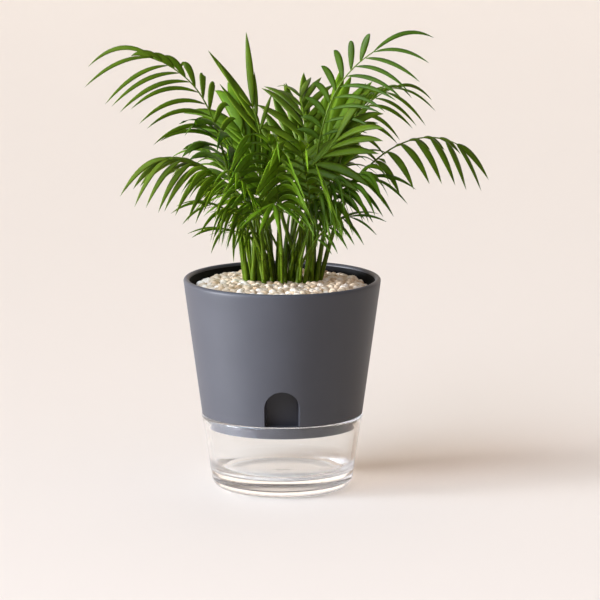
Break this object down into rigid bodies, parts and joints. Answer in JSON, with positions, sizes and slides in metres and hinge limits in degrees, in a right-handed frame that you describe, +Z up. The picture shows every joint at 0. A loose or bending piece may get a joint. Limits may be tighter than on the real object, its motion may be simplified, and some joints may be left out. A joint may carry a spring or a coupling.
{
  "type": "potted parlour palm",
  "caption": "Small clumping feather palm with arching pinnate fronds, in a tapered grey self-watering pot with a clear glass reservoir base.",
  "frame": {"origin": "middle of the pot's flat underside, on the surface it stands on", "axes": "+Z up along the pot's axis, -Y the front with the filling notch"},
  "size_m": [0.3063, 0.2101, 0.3507],
  "materials": {
    "clear_glass": "clear, thick-bottomed, polished",
    "grey_plastic": "fine satin moulded grey",
    "potting_soil": "dark loose potting mix",
    "pebbles": "rounded cream pebbles, 5 to 8 mm",
    "green_cane": "smooth bright green cane and leaf stalk",
    "green_leaf": "satin mid-green leaflets"
  },
  "bodies": {
    "root": {"cane_01": "green_cane", "cane_02": "green_cane", "cane_03": "green_cane", "cane_04": "green_cane", "cane_05": "green_cane", "cane_06": "green_cane", "cane_07": "green_cane", "cane_08": "green_cane", "cane_09": "green_cane", "cane_10": "green_cane", "cane_11": "green_cane", "cane_12": "green_cane", "cane_13": "green_cane", "cane_14": "green_cane", "cane_15": "green_cane", "cane_16": "green_cane", "frond_arching_right": "green_leaf", "frond_arching_right_stem": "green_cane", "frond_back_top": "green_leaf", "frond_front": "green_leaf", "frond_high_1": "green_leaf", "frond_high_2": "green_leaf", "frond_high_3": "green_leaf", "frond_high_4": "green_leaf", "frond_high_5": "green_leaf", "frond_high_6": "green_leaf", "frond_high_7": "green_leaf", "frond_left": "green_leaf", "frond_low_1": "green_leaf", "frond_low_2": "green_leaf", "frond_low_3": "green_leaf", "frond_low_4": "green_leaf", "frond_low_left": "green_leaf", "frond_low_right": "green_leaf", "frond_lowest_left": "green_leaf", "frond_middle_1": "green_leaf", "frond_middle_2": "green_leaf", "frond_middle_3": "green_leaf", "frond_middle_4": "green_leaf", "frond_middle_5": "green_leaf", "frond_middle_6": "green_leaf", "frond_middle_7": "green_leaf", "frond_middle_8": "green_leaf", "frond_right": "green_leaf", "frond_top_left": "green_leaf", "frond_top_right": "green_leaf", "frond_upper_right": "green_leaf", "frond_upright": "green_leaf", "glass_reservoir": "clear_glass", "pebble_bed": "pebbles", "planter": "grey_plastic", "soil": "potting_soil"}
  },
  "joints": []
}
